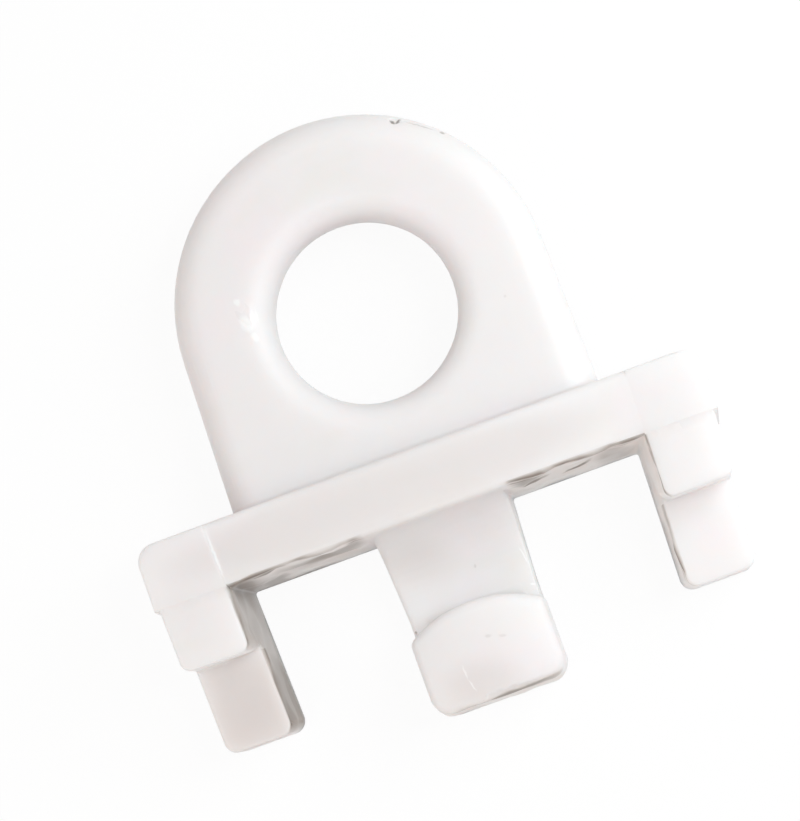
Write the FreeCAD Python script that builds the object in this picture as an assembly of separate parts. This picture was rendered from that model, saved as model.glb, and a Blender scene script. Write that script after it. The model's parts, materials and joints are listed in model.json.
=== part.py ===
"""Curtain glider: a one-piece moulding that clips behind the lip of a curtain track.

An eye for the curtain hook stands on one side of a crossbar. Two stepped arms and a springy
tongue with a snap pad stand on the other side. The glider lies on its flat back: X runs along
the crossbar, Y towards the eye and Z up out of the front face. Lengths are in millimetres.
It is drawn from the crossbar's track face, and moved at the end to stand over its own middle.
"""

import FreeCAD
import Part

import math
import os

V = FreeCAD.Vector

# Crossbar, sized on its front face
BAR_LENGTH = 22.6
BAR_HEIGHT = 2.5
BAR_DEPTH = 5.0
BAR_CORNER = 0.75
BAR_EDGE = 0.25
ROOT_CORNER = 0.12

# Mould draft: every wall of the comb spreads towards the flat back
DRAFT_DEG = 4.3
END_DRAFT_DEG = 1.2

# Arms: the proud ends of the crossbar, the shoulders below them and the thinner legs
ARM_GAP = 16.8
END_PROUD = 0.06
END_EDGE = 0.12
SHOULDER_DROP = 2.55
SHOULDER_INSET = 0.17
SHOULDER_CROWN = 10.0
SHOULDER_SINK = 0.04
SHOULDER_CORNER = 0.4
SHOULDER_EDGE = 0.12
LEG_DROP = 6.05
LEG_DEPTH = 2.9
LEG_INSET = 0.22
LEG_CORNER = 0.5
LEG_EDGE = 0.12
TOE_IN_DEG = 2.0

# Tongue: a thin springy stem with a scooped root, and the snap pad at its end
STEM_ROOT_WIDTH = 5.5
STEM_NECK_WIDTH = 5.1
STEM_DEPTH = 1.6
STEM_DRAFT_DEG = 2.5
STEM_CORNER = 0.7
STEM_SHORT = 0.06
SCOOP_RADIUS = 3.0
PAD_WIDTH = 5.3
PAD_TOP = 3.63
PAD_ARCH = 5.0
PAD_DROP = 7.34
PAD_DEPTH = 4.4
PAD_DOME = 9.0
PAD_CORNER = 0.75
PAD_EDGE = 0.35
PAD_FOOT = 0.5
PAD_DRAFT_DEG = 1.0

# Eye plate, in the middle of the crossbar's depth
EYE_BORE = 7.15
EYE_HEIGHT = 8.23
EYE_RADIUS = 7.33
EYE_ARC_HEIGHT = 8.63
EYE_THICKNESS = 2.8
EYE_FLARE_DEG = 1.4
EYE_EDGE = 1.2
EYE_RIM = 1.0

# Gate mark on the eye's outer edge
GATE_ANGLE_DEG = 30.0
GATE_TILT_DEG = 38.0
GATE_RADIUS = 0.3
GATE_BITE = 0.12

# How deep one feature runs into the next before they are joined
OVERLAP = 0.6

# Least flat left beside a rounding, and how near counts as the same height
LEAST_FLAT = 0.1
NEAR = 1e-4


def slope(degrees):
    """Sideways run of a wall for each millimetre of its height."""
    return math.tan(math.radians(degrees))


def track_face(z):
    """Height of the crossbar's drafted track face."""
    return -(BAR_DEPTH - z) * slope(DRAFT_DEG)


def inner_wall(y, z):
    """Half of the gap between the arms at a place on their inner walls."""
    return ARM_GAP / 2 - (BAR_DEPTH - z) * slope(DRAFT_DEG) + y * slope(TOE_IN_DEG)


def outer_wall(y, z, inset):
    """Distance of an arm's outer wall from the middle plane."""
    return BAR_LENGTH / 2 - inset + (BAR_DEPTH - z) * slope(END_DRAFT_DEG) + y * slope(TOE_IN_DEG)


def stem_wall(y, z):
    """Half of the stem's width at a place on its side wall."""
    taper = (STEM_ROOT_WIDTH - STEM_NECK_WIDTH) / 2 / PAD_TOP
    return STEM_ROOT_WIDTH / 2 + (STEM_DEPTH - z) * slope(STEM_DRAFT_DEG) + y * taper


def pad_bottom(z):
    """Height of the tongue's drafted lower end."""
    return -PAD_DROP - (PAD_DEPTH - z) * slope(DRAFT_DEG)


def eye_edge():
    """Radius of the eye plate's outer edges, kept below half of the plate."""
    return min(EYE_EDGE, EYE_THICKNESS / 2 - LEAST_FLAT)


def plane_face(points):
    """Flat face inside a closed row of points."""
    return Part.Face(Part.makePolygon(points + points[:1]))


def drafted(outline, height):
    """Solid between an outline in the back plane and the same outline at its front height."""
    back = [V(x, y, 0) for x, y in outline(0.0)]
    front = [V(x, y, height) for x, y in outline(height)]
    faces = [plane_face(back), plane_face(front)]
    for i in range(len(back)):
        faces.append(plane_face([back[i - 1], back[i], front[i], front[i - 1]]))
    return Part.Solid(Part.Shell(faces)).removeSplitter()


def upright(edge):
    """True for an edge that runs from the back to the front."""
    return edge.BoundBox.ZLength > max(edge.BoundBox.XLength, edge.BoundBox.YLength)


def at_front(edge, height):
    """True for an edge that lies in a front face."""
    return abs(edge.BoundBox.ZMin - height) < NEAR and edge.BoundBox.ZLength < NEAR


def rounded(solid, radius, wanted):
    """The solid with every wanted edge rounded."""
    edges = [edge for edge in solid.Edges if wanted(edge)]
    return solid.makeFillet(radius, edges)


def mirrored(solid):
    """The same feature on the other side of the middle plane."""
    return solid.mirror(V(0, 0, 0), V(1, 0, 0))


def make_bar():
    """Middle of the crossbar, which runs into both ends."""
    def outline(z):
        side = ARM_GAP / 2 + OVERLAP
        low = track_face(z)
        high = BAR_HEIGHT - track_face(z)
        return [(-side, low), (side, low), (side, high), (-side, high)]

    def is_long_front(edge):
        return at_front(edge, BAR_DEPTH) and edge.BoundBox.XLength > edge.BoundBox.YLength

    return rounded(drafted(outline, BAR_DEPTH), BAR_EDGE, is_long_front)


def make_end():
    """Proud end of the crossbar, with a round outer corner."""
    height = BAR_DEPTH + END_PROUD

    def outline(z):
        outer = outer_wall(0, z, 0)
        low = track_face(z)
        high = BAR_HEIGHT - track_face(z)
        return [(inner_wall(low, z), low), (outer, low), (outer, high), (inner_wall(high, z), high)]

    def is_corner(edge):
        middle = edge.CenterOfMass
        outside = middle.x > (ARM_GAP + BAR_LENGTH) / 4
        return upright(edge) and outside and middle.y > BAR_HEIGHT / 2

    def is_brim(edge):
        return at_front(edge, height) and edge.CenterOfMass.y > BAR_HEIGHT / 4

    end = rounded(drafted(outline, height), BAR_CORNER, is_corner)
    return rounded(end, END_EDGE, is_brim)


def make_shoulder():
    """Shoulder of an arm: crowned front, rounded lower corners."""
    def outline(z):
        low = -SHOULDER_DROP - (BAR_DEPTH - z) * slope(END_DRAFT_DEG)
        inner = [(inner_wall(y, z), y) for y in (low, OVERLAP)]
        outer = [(outer_wall(y, z, SHOULDER_INSET), y) for y in (OVERLAP, low)]
        return inner + outer

    def is_brim(edge):
        box = edge.BoundBox
        return box.ZMin > BAR_DEPTH - 2 * SHOULDER_EDGE and box.YMin < OVERLAP - NEAR

    height = BAR_DEPTH + END_PROUD - SHOULDER_SINK
    block = drafted(outline, height)
    block = rounded(block, SHOULDER_CORNER, lambda e: upright(e) and e.CenterOfMass.y < -OVERLAP)
    middle = (inner_wall(0, BAR_DEPTH) + outer_wall(0, BAR_DEPTH, SHOULDER_INSET)) / 2
    length = SHOULDER_DROP + 4 * OVERLAP
    start = V(middle, -SHOULDER_DROP - 2 * OVERLAP, height - SHOULDER_CROWN)
    crown = Part.makeCylinder(SHOULDER_CROWN, length, start, V(0, 1, 0))
    return rounded(block.common(crown), SHOULDER_EDGE, is_brim)


def make_leg():
    """Thin lower leg, flush with the shoulder's inner wall and back."""
    high = -SHOULDER_DROP + OVERLAP

    def outline(z):
        low = -LEG_DROP - (LEG_DEPTH - z) * slope(END_DRAFT_DEG)
        inner = [(inner_wall(y, z), y) for y in (low, high)]
        outer = [(outer_wall(y, z, SHOULDER_INSET + LEG_INSET), y) for y in (high, low)]
        return inner + outer

    leg = drafted(outline, LEG_DEPTH)
    leg = rounded(leg, LEG_CORNER, lambda e: upright(e) and e.CenterOfMass.y < -LEG_DROP + OVERLAP)
    return rounded(leg, LEG_EDGE, lambda e: at_front(e, LEG_DEPTH) and e.CenterOfMass.y < high - NEAR)


def make_scoop(height, radius, width):
    """Side view of the tongue drawn across its width: a thin stem that sweeps up to the crossbar."""
    bend = radius * math.cos(math.pi / 4)
    foot = -PAD_DROP - 2 * OVERLAP

    def at(y, z):
        return V(-width / 2, y, z)

    neck = at(-radius, STEM_DEPTH)
    arc = Part.Arc(neck, at(-radius + bend, height - bend), at(0, height)).toShape()
    root = Part.makePolygon([at(0, height), at(OVERLAP, height), at(OVERLAP, 0), at(foot, 0)])
    end = Part.makePolygon([at(foot, 0), at(foot, STEM_DEPTH), neck])
    side = Part.Face(Part.Wire([arc] + root.Edges + end.Edges))
    return side.extrude(V(width, 0, 0))


def make_stem():
    """Thin stem of the tongue, with the scoop that runs up to the crossbar's front edge."""
    radius = min(SCOOP_RADIUS, PAD_TOP - LEAST_FLAT, BAR_DEPTH - STEM_DEPTH - BAR_EDGE)
    height = STEM_DEPTH + radius

    def outline(z):
        low = pad_bottom(z) + STEM_SHORT
        root = stem_wall(0, z)
        neck = stem_wall(-PAD_TOP, z)
        return [(-neck, low), (neck, low), (neck, -PAD_TOP), (root, 0), (root, OVERLAP),
                (-root, OVERLAP), (-root, 0), (-neck, -PAD_TOP)]

    block = drafted(outline, height)
    block = rounded(block, STEM_CORNER, lambda e: upright(e) and e.CenterOfMass.y < -PAD_TOP - OVERLAP)
    return make_scoop(height, radius, STEM_ROOT_WIDTH + STEM_NECK_WIDTH).common(block)


def make_pad():
    """Snap pad on the stem's front: arched upper rim, domed front and rounded lower corners."""
    def outline(z):
        side = PAD_WIDTH / 2 + (PAD_DEPTH - z) * slope(PAD_DRAFT_DEG)
        high = -PAD_TOP + OVERLAP
        return [(-side, pad_bottom(z)), (side, pad_bottom(z)), (side, high), (-side, high)]

    pad = drafted(outline, PAD_DEPTH)
    pad = rounded(pad, PAD_CORNER, lambda e: upright(e) and e.CenterOfMass.y < -PAD_TOP)
    start = STEM_DEPTH - PAD_FOOT
    arch = Part.makeCylinder(PAD_ARCH, PAD_DEPTH - start, V(0, -PAD_TOP - PAD_ARCH, start))
    pad = pad.common(arch)
    pad = rounded(pad, PAD_EDGE, lambda e: upright(e) and e.CenterOfMass.y > -PAD_DROP + PAD_CORNER)
    middle = -(PAD_TOP + PAD_DROP) / 2
    dome = Part.makeSphere(PAD_DOME, V(0, middle, PAD_DEPTH - PAD_DOME), V(1, 0, 0))
    brim = (STEM_DEPTH + PAD_DEPTH) / 2
    return rounded(pad.common(dome), PAD_EDGE, lambda e: e.BoundBox.ZMin > brim)


def make_plate():
    """Eye plate without its bore: a round head on flanks that spread towards the crossbar."""
    back = (BAR_DEPTH - EYE_THICKNESS) / 2
    flare = math.radians(EYE_FLARE_DEG)
    foot = BAR_HEIGHT / 2
    side = EYE_RADIUS * math.cos(flare)
    shoulder = EYE_ARC_HEIGHT + EYE_RADIUS * math.sin(flare)
    wide = side + (shoulder - foot) * slope(EYE_FLARE_DEG)
    crown = V(0, EYE_ARC_HEIGHT + EYE_RADIUS, back)
    arc = Part.Arc(V(side, shoulder, back), crown, V(-side, shoulder, back)).toShape()
    right = Part.makeLine(V(wide, foot, back), V(side, shoulder, back))
    left = Part.makeLine(V(-side, shoulder, back), V(-wide, foot, back))
    base = Part.makeLine(V(-wide, foot, back), V(wide, foot, back))
    plate = Part.Face(Part.Wire([right, arc, left, base])).extrude(V(0, 0, EYE_THICKNESS))
    return rounded(plate, eye_edge(), lambda e: not upright(e) and e.CenterOfMass.y > BAR_HEIGHT)


def make_eye():
    """Eye plate with the bore for the curtain hook and the bore's round rim."""
    def is_rim(edge):
        circle = isinstance(edge.Curve, Part.Circle)
        return circle and abs(edge.Curve.Radius - EYE_BORE / 2) < NEAR

    bore = Part.makeCylinder(EYE_BORE / 2, BAR_DEPTH, V(0, EYE_HEIGHT, 0))
    rim = min(EYE_RIM, EYE_THICKNESS / 2 - LEAST_FLAT)
    return rounded(make_plate().cut(bore), rim, is_rim)


def make_web(wall, side, height):
    """Rounded inside corner between the track face and a side wall, from the back up to a height."""
    low = V(wall(track_face(0), 0), track_face(0), 0)
    high = V(wall(track_face(height), height), track_face(height), height)
    below = low.y - ROOT_CORNER
    along = V(side, 0, 0)
    down = (V(wall(below, 0), below, 0) - low).normalize()
    half = along.getAngle(down) / 2
    reach = ROOT_CORNER / math.tan(half)
    inward = (along + down).normalize()
    centre = low + inward * (ROOT_CORNER / math.sin(half))
    start = low + along * reach
    end = low + down * reach
    arc = Part.Arc(start, centre - inward * ROOT_CORNER, end).toShape()
    hidden = low - (along + down) * OVERLAP
    rest = Part.makePolygon([end, end - along * OVERLAP, hidden, start - down * OVERLAP, start])
    face = Part.Face(Part.Wire([arc] + rest.Edges))
    return face.extrude(high - low)


def make_gate_mark():
    """Ball that takes a small chip out of the eye's rounded front edge, where the gate broke off."""
    turn = math.radians(GATE_ANGLE_DEG)
    tilt = math.radians(GATE_TILT_DEG)
    edge = eye_edge()
    out = edge + GATE_RADIUS - GATE_BITE
    reach = EYE_RADIUS - edge + out * math.cos(tilt)
    rise = (BAR_DEPTH + EYE_THICKNESS) / 2 - edge + out * math.sin(tilt)
    place = V(reach * math.sin(turn), EYE_ARC_HEIGHT + reach * math.cos(turn), rise)
    return Part.makeSphere(GATE_RADIUS, place)


def make_glider():
    """The whole moulding, moved so that its origin is below its own middle."""
    arm_web = make_web(inner_wall, -1, BAR_DEPTH - BAR_EDGE)
    stem_web = make_web(stem_wall, 1, STEM_DEPTH + ROOT_CORNER)
    half = [make_end(), make_shoulder(), make_leg(), arm_web, stem_web]
    features = half + [mirrored(solid) for solid in half]
    features += [make_stem(), make_pad(), make_eye()]
    glider = make_bar().multiFuse(features).removeSplitter()
    glider = glider.cut(make_gate_mark())
    if len(glider.Solids) != 1:
        raise RuntimeError("the glider is not one solid")
    glider = glider.Solids[0]
    top = EYE_ARC_HEIGHT + EYE_RADIUS
    bottom = pad_bottom(0) + STEM_SHORT
    glider.translate(V(0, -(top + bottom) / 2, 0))
    return glider


os.makedirs("parts", exist_ok=True)
make_glider().exportStep("parts/glider.step")
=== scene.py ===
"""Looks of the curtain glider: a milky white moulding that lies on a pale table.

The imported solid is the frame. The moulding that is shown is the same solid with finer faces,
which then get what a real moulding has: a seam round the eye, rubbed and uneven edges and a
wavy skin. Sizes are in metres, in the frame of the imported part, unless a name, heading or
docstring says otherwise.
"""

import json
import logging
import math
from collections.abc import Mapping, Sequence
from dataclasses import dataclass
from enum import Enum

import bmesh
import bpy
from mathutils import Matrix, Vector, noise

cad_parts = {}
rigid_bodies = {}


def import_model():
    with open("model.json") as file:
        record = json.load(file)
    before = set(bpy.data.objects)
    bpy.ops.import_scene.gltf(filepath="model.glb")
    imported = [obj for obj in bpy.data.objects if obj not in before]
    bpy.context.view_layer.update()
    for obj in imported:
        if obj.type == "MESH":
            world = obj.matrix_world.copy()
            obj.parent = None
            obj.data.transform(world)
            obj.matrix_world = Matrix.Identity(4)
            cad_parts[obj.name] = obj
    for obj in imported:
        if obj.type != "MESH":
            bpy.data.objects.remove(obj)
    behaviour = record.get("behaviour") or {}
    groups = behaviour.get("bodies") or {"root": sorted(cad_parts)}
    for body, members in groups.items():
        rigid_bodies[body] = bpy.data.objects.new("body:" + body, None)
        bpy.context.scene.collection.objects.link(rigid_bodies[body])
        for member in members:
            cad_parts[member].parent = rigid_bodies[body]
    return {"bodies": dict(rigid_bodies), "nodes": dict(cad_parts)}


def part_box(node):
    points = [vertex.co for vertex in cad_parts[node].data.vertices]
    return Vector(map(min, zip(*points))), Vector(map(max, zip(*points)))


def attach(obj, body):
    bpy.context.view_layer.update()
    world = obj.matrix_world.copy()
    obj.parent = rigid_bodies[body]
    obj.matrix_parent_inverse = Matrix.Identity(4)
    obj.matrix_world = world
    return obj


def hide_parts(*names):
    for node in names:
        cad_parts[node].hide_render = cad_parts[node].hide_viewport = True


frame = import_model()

LOG = logging.getLogger("curtain_glider")
MM = 0.001
IMAGE_WIDTH, IMAGE_HEIGHT = 800, 821
Colour = tuple[float, float, float]
Place = tuple[float, float, float]
Spot = tuple[float, float]
MeshPart = bmesh.types.BMVert | bmesh.types.BMEdge | bmesh.types.BMFace
INNER_MASK = "inner_wall"
WHITE: Colour = (1.0, 1.0, 1.0)
NOISE_MIDDLE = 0.5
MIX_FIRST, MIX_SECOND, MIX_RESULT = 6, 7, 2
TRACK_FACE_MM = -4.36
ARM_WALL_MM = 8.1
BAR_MARK_CORE = 0.3
ARM_MARK_CORE = 0.4
ARM_MARK_DEEP = 1.5


class Signal:
    """A number that varies over a surface, with Python's arithmetic on it."""

    def __init__(self, tree: "ShaderTree", socket: bpy.types.NodeSocket | None) -> None:
        """Wraps one output socket of a shader tree."""
        self.tree = tree
        self.socket = socket

    def _math(self, operation: str, first: object, second: object) -> "Signal":
        """Adds one Math node.

        Args:
            operation: The Math node's operation.
            first: Its first value or link.
            second: Its second value or link.

        Returns:
            The node's result.
        """
        return self.tree.add("ShaderNodeMath", {"operation": operation}, {0: first, 1: second})

    def __add__(self, other: object) -> "Signal":
        """self + other."""
        return self._math("ADD", self, other)

    def __radd__(self, other: object) -> "Signal":
        """other + self."""
        return self._math("ADD", other, self)

    def __sub__(self, other: object) -> "Signal":
        """self - other."""
        return self._math("SUBTRACT", self, other)

    def __rsub__(self, other: object) -> "Signal":
        """other - self."""
        return self._math("SUBTRACT", other, self)

    def __mul__(self, other: object) -> "Signal":
        """self * other."""
        return self._math("MULTIPLY", self, other)

    def __rmul__(self, other: object) -> "Signal":
        """other * self."""
        return self._math("MULTIPLY", other, self)

    def either(self, other: object) -> "Signal":
        """The larger of two values."""
        return self._math("MAXIMUM", self, other)

    def ramp(self, low: float, high: float) -> "Signal":
        """Smooth step of the value.

        Args:
            low: The value that gives 0.
            high: The value that gives 1.

        Returns:
            A mask from 0 to 1.
        """
        settings = {"interpolation_type": "SMOOTHSTEP"}
        return self.tree.add("ShaderNodeMapRange", settings, {0: self, 1: low, 2: high})


class ShaderTree:
    """A node tree that is filled by short calls."""

    def __init__(self, tree: bpy.types.NodeTree) -> None:
        """Empties a node tree and takes it over."""
        self.tree = tree
        tree.nodes.clear()

    def add(
        self,
        kind: str,
        settings: Mapping[str, object] | None = None,
        sockets: Mapping[int | str, object] | None = None,
        output: int | str = 0,
    ) -> Signal:
        """Adds one node.

        Args:
            kind: The node's type.
            settings: Its own settings, which are set first.
            sockets: Values or links of its input sockets.
            output: The output socket that is wanted.

        Returns:
            The wanted output.
        """
        node = self.tree.nodes.new(kind)
        for name, value in (settings or {}).items():
            setattr(node, name, value)
        for name, value in (sockets or {}).items():
            if isinstance(value, Signal):
                self.tree.links.new(value.socket, node.inputs[name])
            else:
                node.inputs[name].default_value = value
        return Signal(self, node.outputs[output] if node.outputs else None)

    def blend(self, share: object, first: object, second: object) -> Signal:
        """Mixes two colours.

        Args:
            share: How much of the second colour is taken.
            first: The first colour or link.
            second: The second colour or link.

        Returns:
            The mixed colour.
        """
        settings = {"data_type": "RGBA"}
        first, second = (
            colour if isinstance(colour, Signal) else (*colour, 1.0) for colour in (first, second)
        )
        sockets = {0: share, MIX_FIRST: first, MIX_SECOND: second}
        return self.add("ShaderNodeMix", settings, sockets, output=MIX_RESULT)

    def place_mm(self) -> Signal:
        """Place on the part in millimetres."""
        return self.scaled(self.add("ShaderNodeTexCoord", output="Object"), 1 / MM)

    def axis(self, place: Signal, name: str) -> Signal:
        """One axis of a place."""
        return self.add("ShaderNodeSeparateXYZ", None, {0: place}, output=name)

    def moved(self, operation: str, place: Signal, by: object) -> Signal:
        """A place after one step of vector maths with another place."""
        return self.add("ShaderNodeVectorMath", {"operation": operation}, {0: place, 1: by})

    def scaled(self, place: Signal, factor: float) -> Signal:
        """A place with all its axes scaled alike."""
        return self.add("ShaderNodeVectorMath", {"operation": "SCALE"}, {0: place, "Scale": factor})

    def wobbled(self, place: Signal, scale: float, reach: float) -> Signal:
        """A place that is pushed about, so that what is measured from it gets an uneven edge.

        Args:
            place: The place.
            scale: How many pushes fit in a unit of that place.
            reach: How far it is pushed.

        Returns:
            The pushed place.
        """
        push = self.add("ShaderNodeTexNoise", None, {"Vector": place, "Scale": scale}, output="Color")
        push = self.moved("SUBTRACT", push, (NOISE_MIDDLE, NOISE_MIDDLE, NOISE_MIDDLE))
        return self.moved("ADD", place, self.scaled(push, 2 * reach))


@dataclass(frozen=True)
class Clouds:
    """Soft noise: lumps per millimetre, finer layers, bend, and the values between which it fades in."""

    scale: float
    detail: float = 2.0
    twist: float = 0.0
    low: float = 0.0
    high: float = 1.0
    stretch: Place | None = None

    def value(self, tree: ShaderTree, place: Signal) -> Signal:
        """The noise itself.

        Args:
            tree: The material's tree.
            place: Place on the part in millimetres.

        Returns:
            Values round one half.
        """
        if self.stretch:
            place = tree.moved("MULTIPLY", place, self.stretch)
        sockets = {"Vector": place, "Scale": self.scale, "Detail": self.detail, "Distortion": self.twist}
        return tree.add("ShaderNodeTexNoise", None, sockets)

    def mask(self, tree: ShaderTree, place: Signal) -> Signal:
        """Mask of the noise's high places, from 0 to 1."""
        return self.value(tree, place).ramp(self.low, self.high)


class Tone(Enum):
    """What a mark does to the plastic: real flecks, scratches and rubbing, or painted shade and painted
    light.
    """

    # Darker, warmer patches: painted shade on the left leg, the stem and the pad, and a darker crossbar
    # middle
    SHADE_AND_TINT = "shade_and_tint"
    # Dark marks: real flecks and grime, and painted shade and painted dark reflections
    GRIME_AND_SHADE = "grime_and_shade"
    # Light marks: a real scratch on the pad, and painted highlights, glints, reflections and light
    SCRATCH_AND_PAINTED_LIGHT = "scratch_and_painted_light"
    POLISH = "polish"


@dataclass(frozen=True)
class Mark:
    """A long spot on the plastic, in millimetres: a fleck, a scratch, a rubbed place, or painted shade,
    highlight or reflection.
    """

    start: Place
    end: Place
    half: float
    tone: Tone
    strength: float
    deep: float = 0.6
    core: float = 0.35
    on_wall: bool = False

    def mask(self, tree: ShaderTree, place: Signal) -> Signal:
        """The mark's mask on the plastic.

        Args:
            tree: The material's tree.
            place: Place on the part in millimetres.

        Returns:
            The mark's strength in its middle, 0 outside it.
        """
        along = Vector(self.end) - Vector(self.start)
        across = (self.deep, self.half) if self.on_wall else (self.half, self.deep)
        sockets = {
            "Vector": place,
            "Location": (Vector(self.start) + Vector(self.end)) / 2,
            "Rotation": along.to_track_quat("X", "Z").to_euler(),
            "Scale": (along.length / 2, *across),
        }
        local = tree.add("ShaderNodeMapping", {"vector_type": "TEXTURE"}, sockets)
        radius = tree.add("ShaderNodeVectorMath", {"operation": "LENGTH"}, {0: local}, output="Value")
        return radius.ramp(1.0, self.core) * self.strength


def front_mark(start: Spot, end: Spot, z: float, half: float, tone: Tone, strength: float) -> Mark:
    """A mark that is seen from the front, at a height z."""
    return Mark((*start, z), (*end, z), half, tone, strength)


def bar_mark(start: Spot, end: Spot, half: float, tone: Tone, strength: float) -> Mark:
    """A mark on the crossbar's track face, from one (x, z) to another."""
    places = [(x, TRACK_FACE_MM, z) for x, z in (start, end)]
    return Mark(*places, half, tone, strength, core=BAR_MARK_CORE, on_wall=True)


def arm_mark(side: int, start: Spot, end: Spot, half: float, tone: Tone, strength: float) -> Mark:
    """A mark on an arm's inner wall, from one (y, z) to another."""
    places = [(side * ARM_WALL_MM, y, z) for y, z in (start, end)]
    return Mark(*places, half, tone, strength, deep=ARM_MARK_DEEP, core=ARM_MARK_CORE, on_wall=True)


FRONT_MARKS = (
    # Flecks in the stem, the pad and the eye
    front_mark((0.50, -6.57), (0.64, -6.54), 1.7, 0.10, Tone.GRIME_AND_SHADE, 0.18),
    front_mark((0.08, -9.24), (0.40, -9.30), 4.3, 0.09, Tone.GRIME_AND_SHADE, 0.14),
    front_mark((0.58, -9.38), (0.98, -9.50), 4.3, 0.08, Tone.GRIME_AND_SHADE, 0.12),
    front_mark((5.18, 2.63), (5.32, 2.68), 3.9, 0.07, Tone.GRIME_AND_SHADE, 0.12),
    # Torn gate on the eye's edge: darker torn plastic, with painted shadow in the chip
    front_mark((3.40, 10.70), (3.57, 10.36), 3.5, 0.10, Tone.GRIME_AND_SHADE, 0.75),
    front_mark((3.50, 10.40), (3.88, 10.57), 3.5, 0.09, Tone.GRIME_AND_SHADE, 0.75),
    front_mark((3.80, 10.50), (5.10, 9.56), 3.4, 0.04, Tone.GRIME_AND_SHADE, 0.25),
    front_mark((5.02, 9.60), (5.28, 9.42), 3.4, 0.09, Tone.GRIME_AND_SHADE, 0.55),
    # Scratch and nicks of the pad
    front_mark((-1.06, -9.90), (-1.02, -10.65), 4.2, 0.05, Tone.SCRATCH_AND_PAINTED_LIGHT, 0.6),
    front_mark((-1.04, -10.50), (-0.85, -11.15), 4.2, 0.05, Tone.SCRATCH_AND_PAINTED_LIGHT, 0.6),
    front_mark((-2.52, -8.15), (-2.42, -8.28), 1.7, 0.08, Tone.GRIME_AND_SHADE, 0.6),
    front_mark((2.46, -8.32), (2.64, -8.37), 2.9, 0.07, Tone.GRIME_AND_SHADE, 0.4),
    # Painted glints on the stem's edge
    front_mark((2.40, -6.30), (2.56, -7.30), 1.5, 0.05, Tone.SCRATCH_AND_PAINTED_LIGHT, 0.8),
    front_mark((2.28, -7.92), (2.58, -8.02), 1.5, 0.05, Tone.SCRATCH_AND_PAINTED_LIGHT, 0.8),
    # Rubbed, glossier place beside the bore, with painted glints and a painted thin highlight line
    front_mark((-4.55, 6.35), (-4.20, 4.60), 3.8, 0.50, Tone.POLISH, 1.0),
    front_mark((-4.52, 5.55), (-4.34, 4.62), 3.8, 0.28, Tone.SCRATCH_AND_PAINTED_LIGHT, 1.0),
    front_mark((-4.56, 6.20), (-4.42, 5.78), 3.8, 0.17, Tone.SCRATCH_AND_PAINTED_LIGHT, 0.8),
    front_mark((-4.34, 4.78), (-4.22, 4.22), 3.8, 0.18, Tone.SCRATCH_AND_PAINTED_LIGHT, 0.8),
    front_mark((-3.97, 4.80), (-3.91, 5.80), 3.5, 0.05, Tone.SCRATCH_AND_PAINTED_LIGHT, 0.5),
    # Painted highlight along the crease where the left end meets the crossbar
    front_mark((-8.44, -1.75), (-8.36, -4.15), 5.0, 0.07, Tone.SCRATCH_AND_PAINTED_LIGHT, 0.7),
    # Painted shade over the left leg
    Mark((-9.3, -5.2, 2.9), (-9.1, -13.6, 2.9), 2.9, Tone.SHADE_AND_TINT, 1.0, deep=1.6, core=0.4),
    # Painted shade in the stem's upper corner, under the crossbar
    Mark((-3.6, -4.6, 1.8), (0.6, -6.4, 1.8), 1.6, Tone.SHADE_AND_TINT, 0.40, deep=1.6, core=0.2),
    # Painted shade on the pad's lower corner
    Mark((-2.6, -10.6, 4.2), (1.6, -11.3, 4.2), 1.5, Tone.SHADE_AND_TINT, 0.50, deep=0.9, core=0.2),
    # Painted light on the ledges under the shoulders and on the stem's flank
    *(
        Mark(
            (side * 11.6, -6.75, 3.9), (side * 8.2, -6.75, 3.9), 1.3, Tone.SCRATCH_AND_PAINTED_LIGHT, 0.9,
            deep=0.22, core=0.6, on_wall=True,
        )
        for side in (-1, 1)
    ),
    Mark((2.85, -4.2, 0.8), (2.60, -8.6, 0.8), 0.25, Tone.SCRATCH_AND_PAINTED_LIGHT, 0.9, deep=1.2, core=0.6),
    # Darker, warmer middle of the crossbar
    Mark((-11.5, -2.9, 5.0), (8.4, -2.9, 5.0), 1.7, Tone.SHADE_AND_TINT, 0.42, deep=0.8, core=0.6),
)
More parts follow.
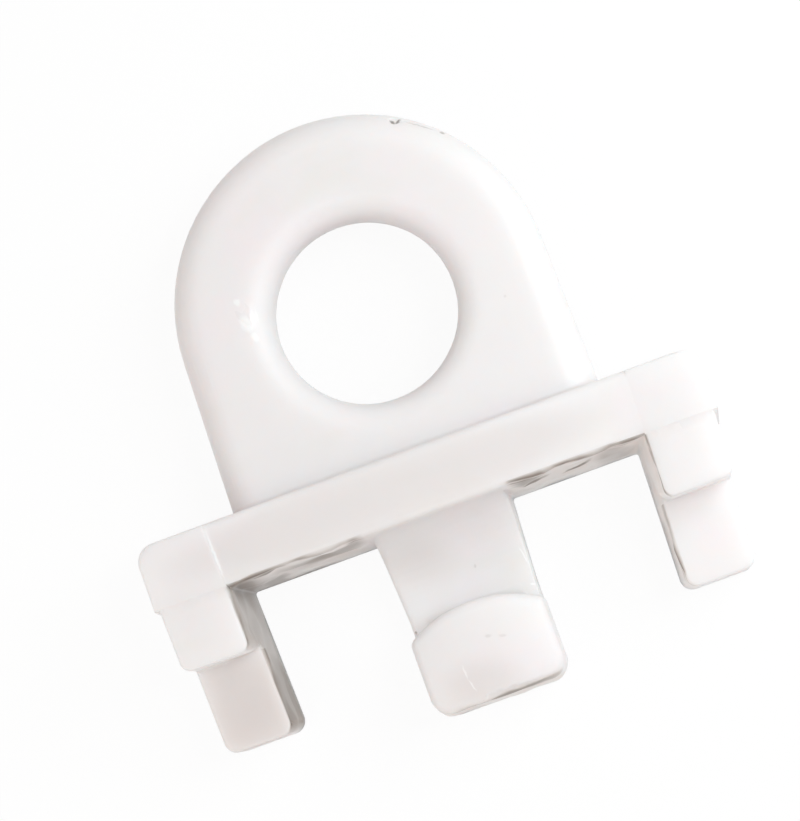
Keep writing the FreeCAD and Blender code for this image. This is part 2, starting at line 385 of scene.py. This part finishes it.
WALL_MARKS = (
    # Painted shade and painted reflections on the crossbar's track face, right of the tongue
    bar_mark((2.75, 3.85), (4.70, 3.90), 1.00, Tone.GRIME_AND_SHADE, 0.72),
    bar_mark((2.70, 4.45), (4.30, 4.50), 0.32, Tone.GRIME_AND_SHADE, 0.85),
    bar_mark((3.00, 3.15), (4.60, 3.15), 0.30, Tone.GRIME_AND_SHADE, 0.85),
    bar_mark((4.00, 3.80), (4.30, 4.80), 0.20, Tone.SCRATCH_AND_PAINTED_LIGHT, 0.90),
    bar_mark((4.90, 2.45), (6.40, 3.30), 0.24, Tone.GRIME_AND_SHADE, 0.85),
    bar_mark((5.10, 3.80), (6.25, 4.30), 0.50, Tone.SCRATCH_AND_PAINTED_LIGHT, 0.90),
    bar_mark((6.10, 2.20), (8.10, 2.25), 3.20, Tone.GRIME_AND_SHADE, 0.42),
    bar_mark((6.10, 4.65), (8.10, 4.05), 0.34, Tone.GRIME_AND_SHADE, 0.90),
    bar_mark((6.30, 1.60), (7.60, 2.00), 0.40, Tone.SCRATCH_AND_PAINTED_LIGHT, 0.70),
    # Painted shade and painted reflections on the crossbar's track face, left of the tongue
    bar_mark((-7.80, 4.45), (-5.60, 4.60), 0.34, Tone.GRIME_AND_SHADE, 0.92),
    bar_mark((-7.40, 3.40), (-1.80, 3.50), 1.20, Tone.GRIME_AND_SHADE, 0.62),
    bar_mark((-3.80, 4.35), (-2.60, 4.37), 0.45, Tone.GRIME_AND_SHADE, 0.75),
    bar_mark((-6.00, 4.05), (-3.80, 4.50), 0.22, Tone.SCRATCH_AND_PAINTED_LIGHT, 0.90),
    bar_mark((-7.05, -1.20), (-6.95, 3.40), 0.85, Tone.GRIME_AND_SHADE, 0.60),
    bar_mark((-7.90, 0.10), (-4.60, 0.12), 0.34, Tone.GRIME_AND_SHADE, 0.75),
    bar_mark((-8.10, -1.50), (-8.00, 6.00), 0.80, Tone.GRIME_AND_SHADE, 0.50),
    # Painted shade and a painted glint on the left arm's inner wall
    arm_mark(-1, (-16.5, 1.50), (1.50, 2.50), 8.00, Tone.GRIME_AND_SHADE, 0.58),
    arm_mark(-1, (-14.0, 1.40), (-5.20, 1.60), 3.50, Tone.GRIME_AND_SHADE, 0.77),
    arm_mark(-1, (-6.20, 3.85), (-5.80, 4.15), 0.20, Tone.SCRATCH_AND_PAINTED_LIGHT, 0.80),
    # Painted dark line along the pad's foot, where its front meets its wall
    Mark(
        (-3.6, -11.6, 3.75), (4.0, -11.6, 3.35), 0.62, Tone.GRIME_AND_SHADE, 0.75,
        deep=0.8, core=0.2, on_wall=True,
    ),
    # Painted dark lines on the right arm's inner wall
    arm_mark(1, (-10.2, 1.90), (-7.80, 1.70), 0.30, Tone.GRIME_AND_SHADE, 0.50),
    arm_mark(1, (-5.60, 4.80), (-4.70, 4.50), 0.30, Tone.GRIME_AND_SHADE, 0.50),
    arm_mark(1, (-9.90, 0.40), (-4.40, 0.70), 0.40, Tone.GRIME_AND_SHADE, 0.15),
)


@dataclass(frozen=True)
class GliderPlastic:
    """Milky moulded plastic: cloudy tint, semi-gloss skin, flecks, and painted shade, highlights and
    reflections on the inner walls and edges.
    """

    name: str = "glider_plastic"
    # Tints, with painted shade and painted light
    milky: Colour = (0.864, 0.847, 0.847)
    rosy: Colour = (0.876, 0.840, 0.848)
    sallow: Colour = (0.850, 0.835, 0.818)
    # Paler, warmer colour of the inner walls: painted light that lifts their shade
    wall: Colour = (0.89, 0.855, 0.835)
    # Colour of the darker, warmer patches: painted shade, and a darker crossbar middle
    shade_and_tint: Colour = (0.74, 0.70, 0.685)
    # Colour of the dark marks: real flecks, and painted shade and painted dark reflections
    grime_and_shade: Colour = (0.21, 0.175, 0.15)
    # Colour of the light marks: a real scratch, and painted highlights, glints, reflections and light
    scratch_and_painted_light: Colour = (0.97, 0.965, 0.96)
    # Gloss
    roughness: float = 0.50
    roughness_spread: float = 0.14
    wall_roughness: float = 0.75
    streak_roughness: float = 0.40
    polished_roughness: float = 0.12
    # Light inside the plastic
    ior: float = 1.5
    subsurface: float = 1.0
    scatter: Colour = (1.0, 0.86, 0.8)
    depth: float = 1.3 * MM
    # Uneven edges of the marks, in millimetres
    front_push: float = 5.0
    front_reach: float = 0.05
    wall_push: float = 1.1
    wall_reach: float = 0.28
    # Clouds of the tint, the gloss and the relief
    rosy_clouds: Clouds = Clouds(0.23, twist=0.4, low=0.45, high=0.7)
    sallow_clouds: Clouds = Clouds(0.31, twist=0.6, low=0.5, high=0.75, stretch=(0.8, 1.3, 1.0))
    sallow_share: float = 0.7
    streak_clouds: Clouds = Clouds(
        0.8, detail=0.5, twist=0.8, low=0.42, high=0.6, stretch=(0.3, 0.3, 0.8)
    )
    gloss_clouds: Clouds = Clouds(0.6, detail=4.0)
    polish_clouds: Clouds = Clouds(1.6, low=0.38, high=0.52)
    wave_clouds: Clouds = Clouds(0.7, detail=1.0)
    grain_clouds: Clouds = Clouds(6.0, detail=3.0)
    grain_share: float = 0.05
    dent_clouds: Clouds = Clouds(2.6, detail=1.0)
    dent_share: float = 1.4
    streak_share: float = 0.8
    relief_strength: float = 0.6
    relief: float = 0.02 * MM
    # Painted shade: dark line along the inner walls' front edges, in millimetres
    lip_clouds: Clouds = Clouds(0.9, detail=1.0, low=0.35, high=0.65)
    lip_strength: float = 0.95
    lip_patches: float = 0.6
    lip_full: float = 0.15
    lip_end: float = 0.50
    tongue_side: float = 2.75
    tongue_clear: float = 2.95
    front_height: float = 5.0
    leg_height: float = 2.9
    leg_top: float = -6.75
    leg_fade: float = 0.1

    def material(self) -> bpy.types.Material:
        """Builds the plastic.

        Returns:
            The material.
        """
        material = bpy.data.materials.new(self.name)
        material.use_nodes = True
        tree = ShaderTree(material.node_tree)
        place = tree.place_mm()
        inner = tree.add("ShaderNodeAttribute", {"attribute_name": INNER_MASK}, output="Fac")
        front = tree.wobbled(place, self.front_push, self.front_reach)
        wall = tree.wobbled(place, self.wall_push, self.wall_reach)
        uneven = (Tone.GRIME_AND_SHADE, Tone.SCRATCH_AND_PAINTED_LIGHT, Tone.SHADE_AND_TINT)
        marks = {tone: self.marked(tree, front, wall, inner, tone) for tone in uneven}
        marks[Tone.POLISH] = self.marked(tree, place, place, inner, Tone.POLISH)
        streaks = self.streak_clouds.mask(tree, place)
        shader = tree.add(
            "ShaderNodeBsdfPrincipled",
            None,
            {
                "Base Color": self.colour(tree, place, inner, marks),
                "Roughness": self.gloss(tree, place, inner, marks[Tone.POLISH], streaks),
                "Normal": self.skin(tree, place, inner, marks[Tone.POLISH], streaks),
                "IOR": self.ior,
                "Subsurface Weight": self.subsurface,
                "Subsurface Radius": self.scatter,
                "Subsurface Scale": self.depth,
            },
        )
        tree.add("ShaderNodeOutputMaterial", None, {"Surface": shader})
        return material

    def marked(self, tree: ShaderTree, front: Signal, wall: Signal, inner: Signal, tone: Tone) -> Signal:
        """Mask of all the marks of one tone.

        Args:
            tree: The material's tree.
            front: Place that the marks of the front are measured from.
            wall: Place that the marks of the inner walls are measured from.
            inner: Mask of the inner walls.
            tone: What the marks do.

        Returns:
            The mask.
        """
        mask = None
        for mark in WALL_MARKS:
            if mark.tone is tone:
                spot = mark.mask(tree, wall)
                mask = mask.either(spot) if mask else spot
        # Painted shade along the inner walls' front edges joins the dark marks
        if tone is Tone.GRIME_AND_SHADE:
            edge_shade = self.edge_shade(tree, front)
            mask = edge_shade + (1.0 - edge_shade) * mask
        mask = mask * inner if mask else None
        for mark in FRONT_MARKS:
            if mark.tone is tone:
                spot = mark.mask(tree, front)
                mask = mask.either(spot) if mask else spot
        return mask

    def edge_shade(self, tree: ShaderTree, place: Signal) -> Signal:
        """Painted shade: a dark line along the inner walls' front edges.

        Args:
            tree: The material's tree.
            place: Place on the part in millimetres.

        Returns:
            The mask.
        """
        aside, along, height = (tree.axis(place, name) for name in "XYZ")
        beside_tongue = aside.either(aside * -1.0).ramp(self.tongue_side, self.tongue_clear)
        on_leg = along.ramp(self.leg_top + self.leg_fade, self.leg_top - self.leg_fade)
        below = self.front_height - height - on_leg * (self.front_height - self.leg_height)
        patchy = self.lip_clouds.mask(tree, place) * self.lip_patches + (1.0 - self.lip_patches)
        return below.ramp(self.lip_end, self.lip_full) * patchy * beside_tongue * self.lip_strength

    def colour(
        self, tree: ShaderTree, place: Signal, inner: Signal, marks: Mapping[Tone, Signal]
    ) -> Signal:
        """Colour of the plastic, with painted shade and painted light in it.

        Args:
            tree: The material's tree.
            place: Place on the part in millimetres.
            inner: Mask of the inner walls.
            marks: Mask of the marks of each tone.

        Returns:
            The base colour.
        """
        tint = tree.blend(self.rosy_clouds.mask(tree, place), self.milky, self.rosy)
        sallow = self.sallow_clouds.mask(tree, place) * self.sallow_share
        tint = tree.blend(sallow, tint, self.sallow)
        # Inner walls take a paler, warmer colour: painted light that lifts their shade
        tint = tree.blend(inner, tint, self.wall)
        # Darker, warmer patches: painted shade, and a darker crossbar middle
        tint = tree.blend(marks[Tone.SHADE_AND_TINT], tint, self.shade_and_tint)
        # Light marks: a real scratch, and painted highlights, glints, reflections and light
        tint = tree.blend(marks[Tone.SCRATCH_AND_PAINTED_LIGHT], tint, self.scratch_and_painted_light)
        # Dark marks: real flecks, painted shade and painted dark reflections
        return tree.blend(marks[Tone.GRIME_AND_SHADE], tint, self.grime_and_shade)

    def gloss(
        self, tree: ShaderTree, place: Signal, inner: Signal, polish: Signal, streaks: Signal
    ) -> Signal:
        """Roughness of the skin.

        Args:
            tree: The material's tree.
            place: Place on the part in millimetres.
            inner: Mask of the inner walls.
            polish: Mask of the rubbed place beside the bore.
            streaks: Mask of the polished streaks along the inner walls.

        Returns:
            The roughness.
        """
        lumps = self.gloss_clouds.value(tree, place) - NOISE_MIDDLE
        face = self.roughness + lumps * self.roughness_spread
        wall = self.wall_roughness + streaks * (self.streak_roughness - self.wall_roughness)
        skin = face + (wall - face) * inner
        spots = self.polish_clouds.mask(tree, place) * polish
        return skin + (self.polished_roughness - skin) * spots

    def skin(
        self, tree: ShaderTree, place: Signal, inner: Signal, polish: Signal, streaks: Signal
    ) -> Signal:
        """Fine relief of the skin.

        Args:
            tree: The material's tree.
            place: Place on the part in millimetres.
            inner: Mask of the inner walls.
            polish: Mask of the rubbed place beside the bore.
            streaks: Mask of the polished streaks along the inner walls.

        Returns:
            The bumped normal.
        """
        waves = self.wave_clouds.value(tree, place)
        grain = self.grain_clouds.value(tree, place) * self.grain_share
        dents = self.dent_clouds.value(tree, place) * polish * self.dent_share
        height = waves + grain + dents + inner * streaks * self.streak_share
        sockets = {"Strength": self.relief_strength, "Distance": self.relief, "Height": height}
        return tree.add("ShaderNodeBump", None, sockets)


def clamped(value: float) -> float:
    """A value that is kept between 0 and 1."""
    return min(1.0, max(0.0, value))


@dataclass
class Moulding:
    """The glider as it is shown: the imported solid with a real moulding's uneven skin."""

    name: str = "moulding"
    node: str = "glider"
    slot: str = "glider_plastic"
    # Finer faces
    weld: float = 1e-7
    flat_deg: float = 0.05
    grid: float = 0.45 * MM
    crease_deg: float = 32.0
    # Seam round the eye
    seam_height: float = 2.5 * MM
    seam_half: float = 0.07 * MM
    seam_rise: float = 0.025 * MM
    eye_foot: float = -1.2 * MM
    # Waves of the skin and of the inner walls' edges
    skin_wave: float = 0.004 * MM
    skin_length: float = 2.6 * MM
    edge_wave: float = 0.15 * MM
    edge_length: float = 1.1 * MM
    edge_shift: Place = (7.3, 1.9, 4.2)
    edge_calm: float = 1.2 * MM
    # Where the inner walls and the pad's foot are, and which slopes count
    foot_height: float = -10.6 * MM
    gap_near: float = 2.9 * MM
    gap_far: float = 8.9 * MM
    arm_wall: float = 7.4 * MM
    track_low: float = -4.9 * MM
    track_high: float = -4.05 * MM
    track_side: float = 8.38 * MM
    foot_gain: float = 3.0
    foot_floor: float = 1.6
    wall_gain: float = 1.6
    wall_floor: float = 0.5
    # Rubbed edges of the ends
    rub_start: float = -3.3 * MM
    rub_end: float = -4.19 * MM
    rub_low: float = 4.94 * MM
    rub_high: float = 5.06 * MM
    rub_depth: float = 0.036 * MM
    shoulder_middle: float = 9.76 * MM
    bar_front: float = 5.0 * MM
    crease: float = 8.43 * MM
    crease_width: float = 1.4 * MM
    crown_radius: float = 10.0 * MM
    plastic: GliderPlastic = GliderPlastic()

    def build(self) -> bpy.types.Object:
        """Builds the moulding.

        Returns:
            The moulding's object, in place.
        """
        shape = bmesh.new()
        shape.from_mesh(frame["nodes"][self.node].data)
        bmesh.ops.remove_doubles(shape, verts=shape.verts, dist=self.weld)
        self.refine(shape)
        self.rub_steps(shape)
        self.raise_seam(shape)
        shape.normal_update()
        inner = [self.inner_share(vert) for vert in shape.verts]
        self.ripple(shape, inner)
        mesh = bpy.data.meshes.new(self.name)
        shape.to_mesh(mesh)
        shape.free()
        mesh.attributes.new(INNER_MASK, "FLOAT", "POINT").data.foreach_set("value", inner)
        mesh.shade_smooth()
        mesh.set_sharp_from_angle(angle=math.radians(self.crease_deg))
        piece = bpy.data.objects.new(self.name, mesh)
        bpy.context.scene.collection.objects.link(piece)
        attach(piece, "root")
        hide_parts(self.node)
        return piece

    def dress(self, piece: bpy.types.Object) -> None:
        """Gives the moulding its plastic and even normals.

        Args:
            piece: The moulding.
        """
        piece.data.materials.clear()
        piece.data.materials.append(self.plastic.material())
        even = piece.modifiers.new("even_normals", "WEIGHTED_NORMAL")
        even.keep_sharp = True

    def refine(self, shape: bmesh.types.BMesh) -> None:
        """Cuts the faces along an even grid, so that they can bend.

        Args:
            shape: The mesh, which is changed.
        """
        flat = math.radians(self.flat_deg)
        bmesh.ops.dissolve_limit(shape, angle_limit=flat, verts=shape.verts, edges=shape.edges)
        low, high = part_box(self.node)
        for axis, across in enumerate(Matrix.Identity(3)):
            for step in range(1, math.ceil((high[axis] - low[axis]) / self.grid)):
                parts = [*shape.verts, *shape.edges, *shape.faces]
                self.slice(shape, parts, across * (low[axis] + step * self.grid), across)
        bmesh.ops.triangulate(shape, faces=shape.faces)

    def slice(
        self, shape: bmesh.types.BMesh, parts: Sequence[MeshPart], place: Vector, across: Vector
    ) -> None:
        """Adds the edges where a plane crosses some faces.

        Args:
            shape: The mesh, which is changed.
            parts: The faces that are cut, with their edges and points.
            place: A point of the plane.
            across: The plane's normal.
        """
        bmesh.ops.bisect_plane(shape, geom=parts, plane_co=place, plane_no=across, dist=self.weld)

    def raise_seam(self, shape: bmesh.types.BMesh) -> None:
        """Raises the thin seam that the two mould halves leave round the eye.

        Args:
            shape: The mesh, which is changed.
        """
        for offset in (-self.seam_half, 0.0, self.seam_half):
            faces = [face for face in shape.faces if face.calc_center_median().y > self.eye_foot]
            parts = dict.fromkeys(part for face in faces for part in (face, *face.edges, *face.verts))
            place = Vector((0, 0, self.seam_height + offset))
            self.slice(shape, list(parts), place, Vector((0, 0, 1)))
        bmesh.ops.triangulate(shape, faces=[face for face in shape.faces if len(face.verts) > 3])
        shape.normal_update()
        ridge = [
            vert for vert in shape.verts
            if abs(vert.co.z - self.seam_height) < self.weld and vert.co.y > self.eye_foot
        ]
        for vert in ridge:
            vert.co += vert.normal * self.seam_rise

    def rub_steps(self, shape: bmesh.types.BMesh) -> None:
        """Rubs the edges where the ends stand proud of the crossbar and the shoulders.

        Args:
            shape: The mesh, which is changed.
        """
        for vert in shape.verts:
            near = (self.rub_start - vert.co.y) / (self.rub_start - self.rub_end)
            self.rub_inner_edge(vert, near)
            self.rub_lower_edge(vert, near)

    def rub_inner_edge(self, vert: bmesh.types.BMVert, near: float) -> None:
        """Rubs the right end's inner edge flush with the crossbar.

        Args:
            vert: A point of the mesh, which is moved if it lies there.
            near: 0 where the rubbed lower edge starts, 1 at the shoulder.
        """
        beside = 1.0 - (vert.co.x - self.crease) / self.crease_width
        if beside > 0.0 and vert.co.x > self.arm_wall and vert.co.z > self.bar_front:
            calm = 1.0 - clamped(near) ** 2
            vert.co.z -= (vert.co.z - self.bar_front) * clamped(beside) ** 2 * calm

    def rub_lower_edge(self, vert: bmesh.types.BMVert, near: float) -> None:
        """Rubs an end's lower front edge down to its crowned shoulder.

        Args:
            vert: A point of the mesh, which is moved if it lies there.
            near: 0 where the rubbed lower edge starts, 1 at the shoulder.
        """
        aside = abs(vert.co.x) - self.shoulder_middle
        crown = self.rub_high - self.rub_depth - aside**2 / (2 * self.crown_radius)
        on_end = abs(vert.co.x) > self.arm_wall and self.rub_end < vert.co.y < self.rub_start
        if on_end and vert.co.z > max(crown, self.rub_low):
            flat = (vert.co.z - self.rub_low) / (self.rub_high - self.rub_low)
            vert.co.z -= (self.rub_high - crown) * flat * near**2

    def inner_share(self, vert: bmesh.types.BMVert) -> float:
        """How far a point lies on a wall of the gaps beside the tongue.

        Args:
            vert: The point.

        Returns:
            1 on the crossbar's track face, the arms' inner walls and the pad's foot, 0 elsewhere.
        """
        place, normal = vert.co, vert.normal
        aside = abs(place.x)
        if aside < self.gap_near and place.y < self.foot_height:
            return clamped(-normal.y * self.foot_gain - self.foot_floor)
        if place.y > self.track_high or not self.gap_near < aside < self.gap_far:
            return 0.0
        facing = -math.copysign(1.0, place.x) * normal.x if aside > self.arm_wall else 0.0
        if place.y > self.track_low and aside < self.track_side:
            facing = max(facing, -normal.y)
        return clamped(facing * self.wall_gain - self.wall_floor)

    def ripple(self, shape: bmesh.types.BMesh, inner: Sequence[float]) -> None:
        """Makes the skin slightly wavy, and uneven the edges of the inner walls and the pad's foot.

        Args:
            shape: The mesh, which is changed.
            inner: Share of each point on the inner walls.
        """
        moves = []
        shift = Vector(self.edge_shift)
        for vert, on_wall in zip(shape.verts, inner):
            wave = noise.noise(vert.co / self.skin_length) * self.skin_wave
            rough = noise.noise(vert.co / self.edge_length + shift) * self.edge_wave
            lift = clamped(vert.co.z / self.edge_calm)
            calm = clamped(vert.co.z / self.skin_length)
            moves.append(vert.normal * (wave * calm + rough * on_wall * lift))
        for vert, move in zip(shape.verts, moves):
            vert.co += move


@dataclass
class Table:
    """Pale table under the glider, white to the eye and to reflections, with the glider's shadow."""

    name: str = "table"
    half: float = 2.0
    drop: float = 0.02 * MM
    white_share: float = 0.92
    bounce: Colour = (0.93, 0.915, 0.905)

    def build(self) -> bpy.types.Object:
        """Builds the table's top.

        Returns:
            The table's object.
        """
        mesh = bpy.data.meshes.new(self.name)
        corners = [(-1, -1), (1, -1), (1, 1), (-1, 1)]
        points = [(x * self.half, y * self.half, -self.drop) for x, y in corners]
        mesh.from_pydata(points, [], [range(len(points))])
        table = bpy.data.objects.new(self.name, mesh)
        bpy.context.scene.collection.objects.link(table)
        mesh.materials.append(self.material())
        return table

    def material(self) -> bpy.types.Material:
        """White to the camera and to reflections, pale grey to the light that it sends back up.

        Returns:
            The material.
        """
        material = bpy.data.materials.new(self.name)
        material.use_nodes = True
        tree = ShaderTree(material.node_tree)
        seen = seen_directly(tree)
        colour = tree.blend(seen, self.bounce, WHITE)
        paper = tree.add("ShaderNodeBsdfDiffuse", None, {"Color": colour})
        glow = tree.add("ShaderNodeEmission", None, {"Color": (*WHITE, 1.0), "Strength": 1.0})
        mixed = tree.add("ShaderNodeMixShader", None, {0: seen * self.white_share, 1: paper, 2: glow})
        tree.add("ShaderNodeOutputMaterial", None, {"Surface": mixed})
        return material


def seen_directly(tree: ShaderTree) -> Signal:
    """Tells rays that look at a thing from rays that carry light between things.

    Args:
        tree: The tree of a material or of the room.

    Returns:
        1 for rays of the camera, of reflections and through clear things, else 0.
    """
    rays = ("Is Camera Ray", "Is Glossy Ray", "Is Transmission Ray")
    camera, glossy, clear = (tree.add("ShaderNodeLightPath", output=ray) for ray in rays)
    return camera.either(glossy).either(clear)


@dataclass
class Lamp:
    """Square soft lamp that looks at the glider."""

    name: str
    azimuth_deg: float
    elevation_deg: float
    distance: float
    size: float
    level: float
    colour: Colour = WHITE

    def build(self) -> bpy.types.Object:
        """Builds the lamp.

        Returns:
            The lamp's object.
        """
        turn, rise = math.radians(self.azimuth_deg), math.radians(self.elevation_deg)
        flat = math.cos(rise)
        toward = Vector((math.cos(turn) * flat, math.sin(turn) * flat, math.sin(rise)))
        data = bpy.data.lights.new(self.name, "AREA")
        data.size = self.size
        data.color = self.colour
        data.energy = self.level * math.pi**2 * self.distance**2 / math.sin(rise)
        lamp = bpy.data.objects.new(self.name, data)
        lamp.location = toward * self.distance
        lamp.rotation_euler = toward.to_track_quat("Z", "Y").to_euler()
        lamp.visible_camera = False
        bpy.context.scene.collection.objects.link(lamp)
        return lamp


@dataclass
class Studio:
    """Light of the room, lamps and camera."""

    room_level: float = 0.57
    room: Colour = (1.0, 0.955, 0.93)
    eye: Place = (5.43 * MM, -9.80 * MM, 115.0 * MM)
    target: Place = (0.05 * MM, -0.175 * MM, 5.0 * MM)
    roll_deg: float = 19.87
    focal_px: float = 2928.0
    sensor_mm: float = 36.0
    nearest: float = 1.0 * MM
    farthest: float = 20.0
    lamps: tuple[Lamp, ...] = (
        Lamp(
            "window", azimuth_deg=10.0, elevation_deg=44.0, distance=0.075, size=0.05,
            level=0.335, colour=(0.87, 0.965, 1.0),
        ),
        Lamp(
            "bulb", azimuth_deg=-3.0, elevation_deg=66.0, distance=0.2, size=0.032,
            level=0.085, colour=(0.94, 0.98, 1.0),
        ),
        Lamp(
            "fill", azimuth_deg=-148.0, elevation_deg=32.0, distance=0.1, size=0.08,
            level=0.10, colour=(1.0, 0.955, 0.93),
        ),
    )

    def light(self) -> None:
        """Sets the room's light and the lamps."""
        world = bpy.data.worlds.new("room")
        world.use_nodes = True
        tree = ShaderTree(world.node_tree)
        seen = seen_directly(tree)
        level = self.room_level + seen * (1.0 - self.room_level)
        sky = tree.add("ShaderNodeBackground", None, {"Color": (*self.room, 1.0), "Strength": level})
        tree.add("ShaderNodeOutputWorld", None, {"Surface": sky})
        bpy.context.scene.world = world
        for lamp in self.lamps:
            lamp.build()
            LOG.info("lamp %s", lamp.name)

    def frame_view(self) -> None:
        """Sets the camera where the photograph was taken from."""
        data = bpy.data.cameras.new("camera")
        data.sensor_width = self.sensor_mm
        data.lens = self.focal_px / max(IMAGE_WIDTH, IMAGE_HEIGHT) * self.sensor_mm
        data.clip_start, data.clip_end = self.nearest, self.farthest
        camera = bpy.data.objects.new("camera", data)
        roll = math.radians(self.roll_deg)
        back = (Vector(self.eye) - Vector(self.target)).normalized()
        right = Vector((math.sin(roll), math.cos(roll), 0.0)).cross(back).normalized()
        turned = Matrix((right, back.cross(right), back)).transposed().to_4x4()
        camera.matrix_world = Matrix.Translation(self.eye) @ turned
        bpy.context.scene.collection.objects.link(camera)
        bpy.context.scene.camera = camera


def clear_scene() -> None:
    """Removes what a new scene comes with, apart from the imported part."""
    kept = {*frame["nodes"].values(), *frame["bodies"].values()}
    for thing in [thing for thing in bpy.data.objects if thing not in kept]:
        bpy.data.objects.remove(thing)


def main() -> None:
    """Builds the glider, its table and the light, in order."""
    logging.basicConfig(level=logging.INFO, format="%(message)s")
    clear_scene()
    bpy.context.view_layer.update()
    moulding = Moulding()
    piece = moulding.build()
    moulding.dress(piece)
    LOG.info("%s: %d triangles", piece.name, len(piece.data.polygons))
    table = Table().build()
    LOG.info("%s", table.name)
    studio = Studio()
    studio.light()
    studio.frame_view()
    bpy.context.scene.view_settings.view_transform = "Standard"


if __name__ == "__main__":
    main()
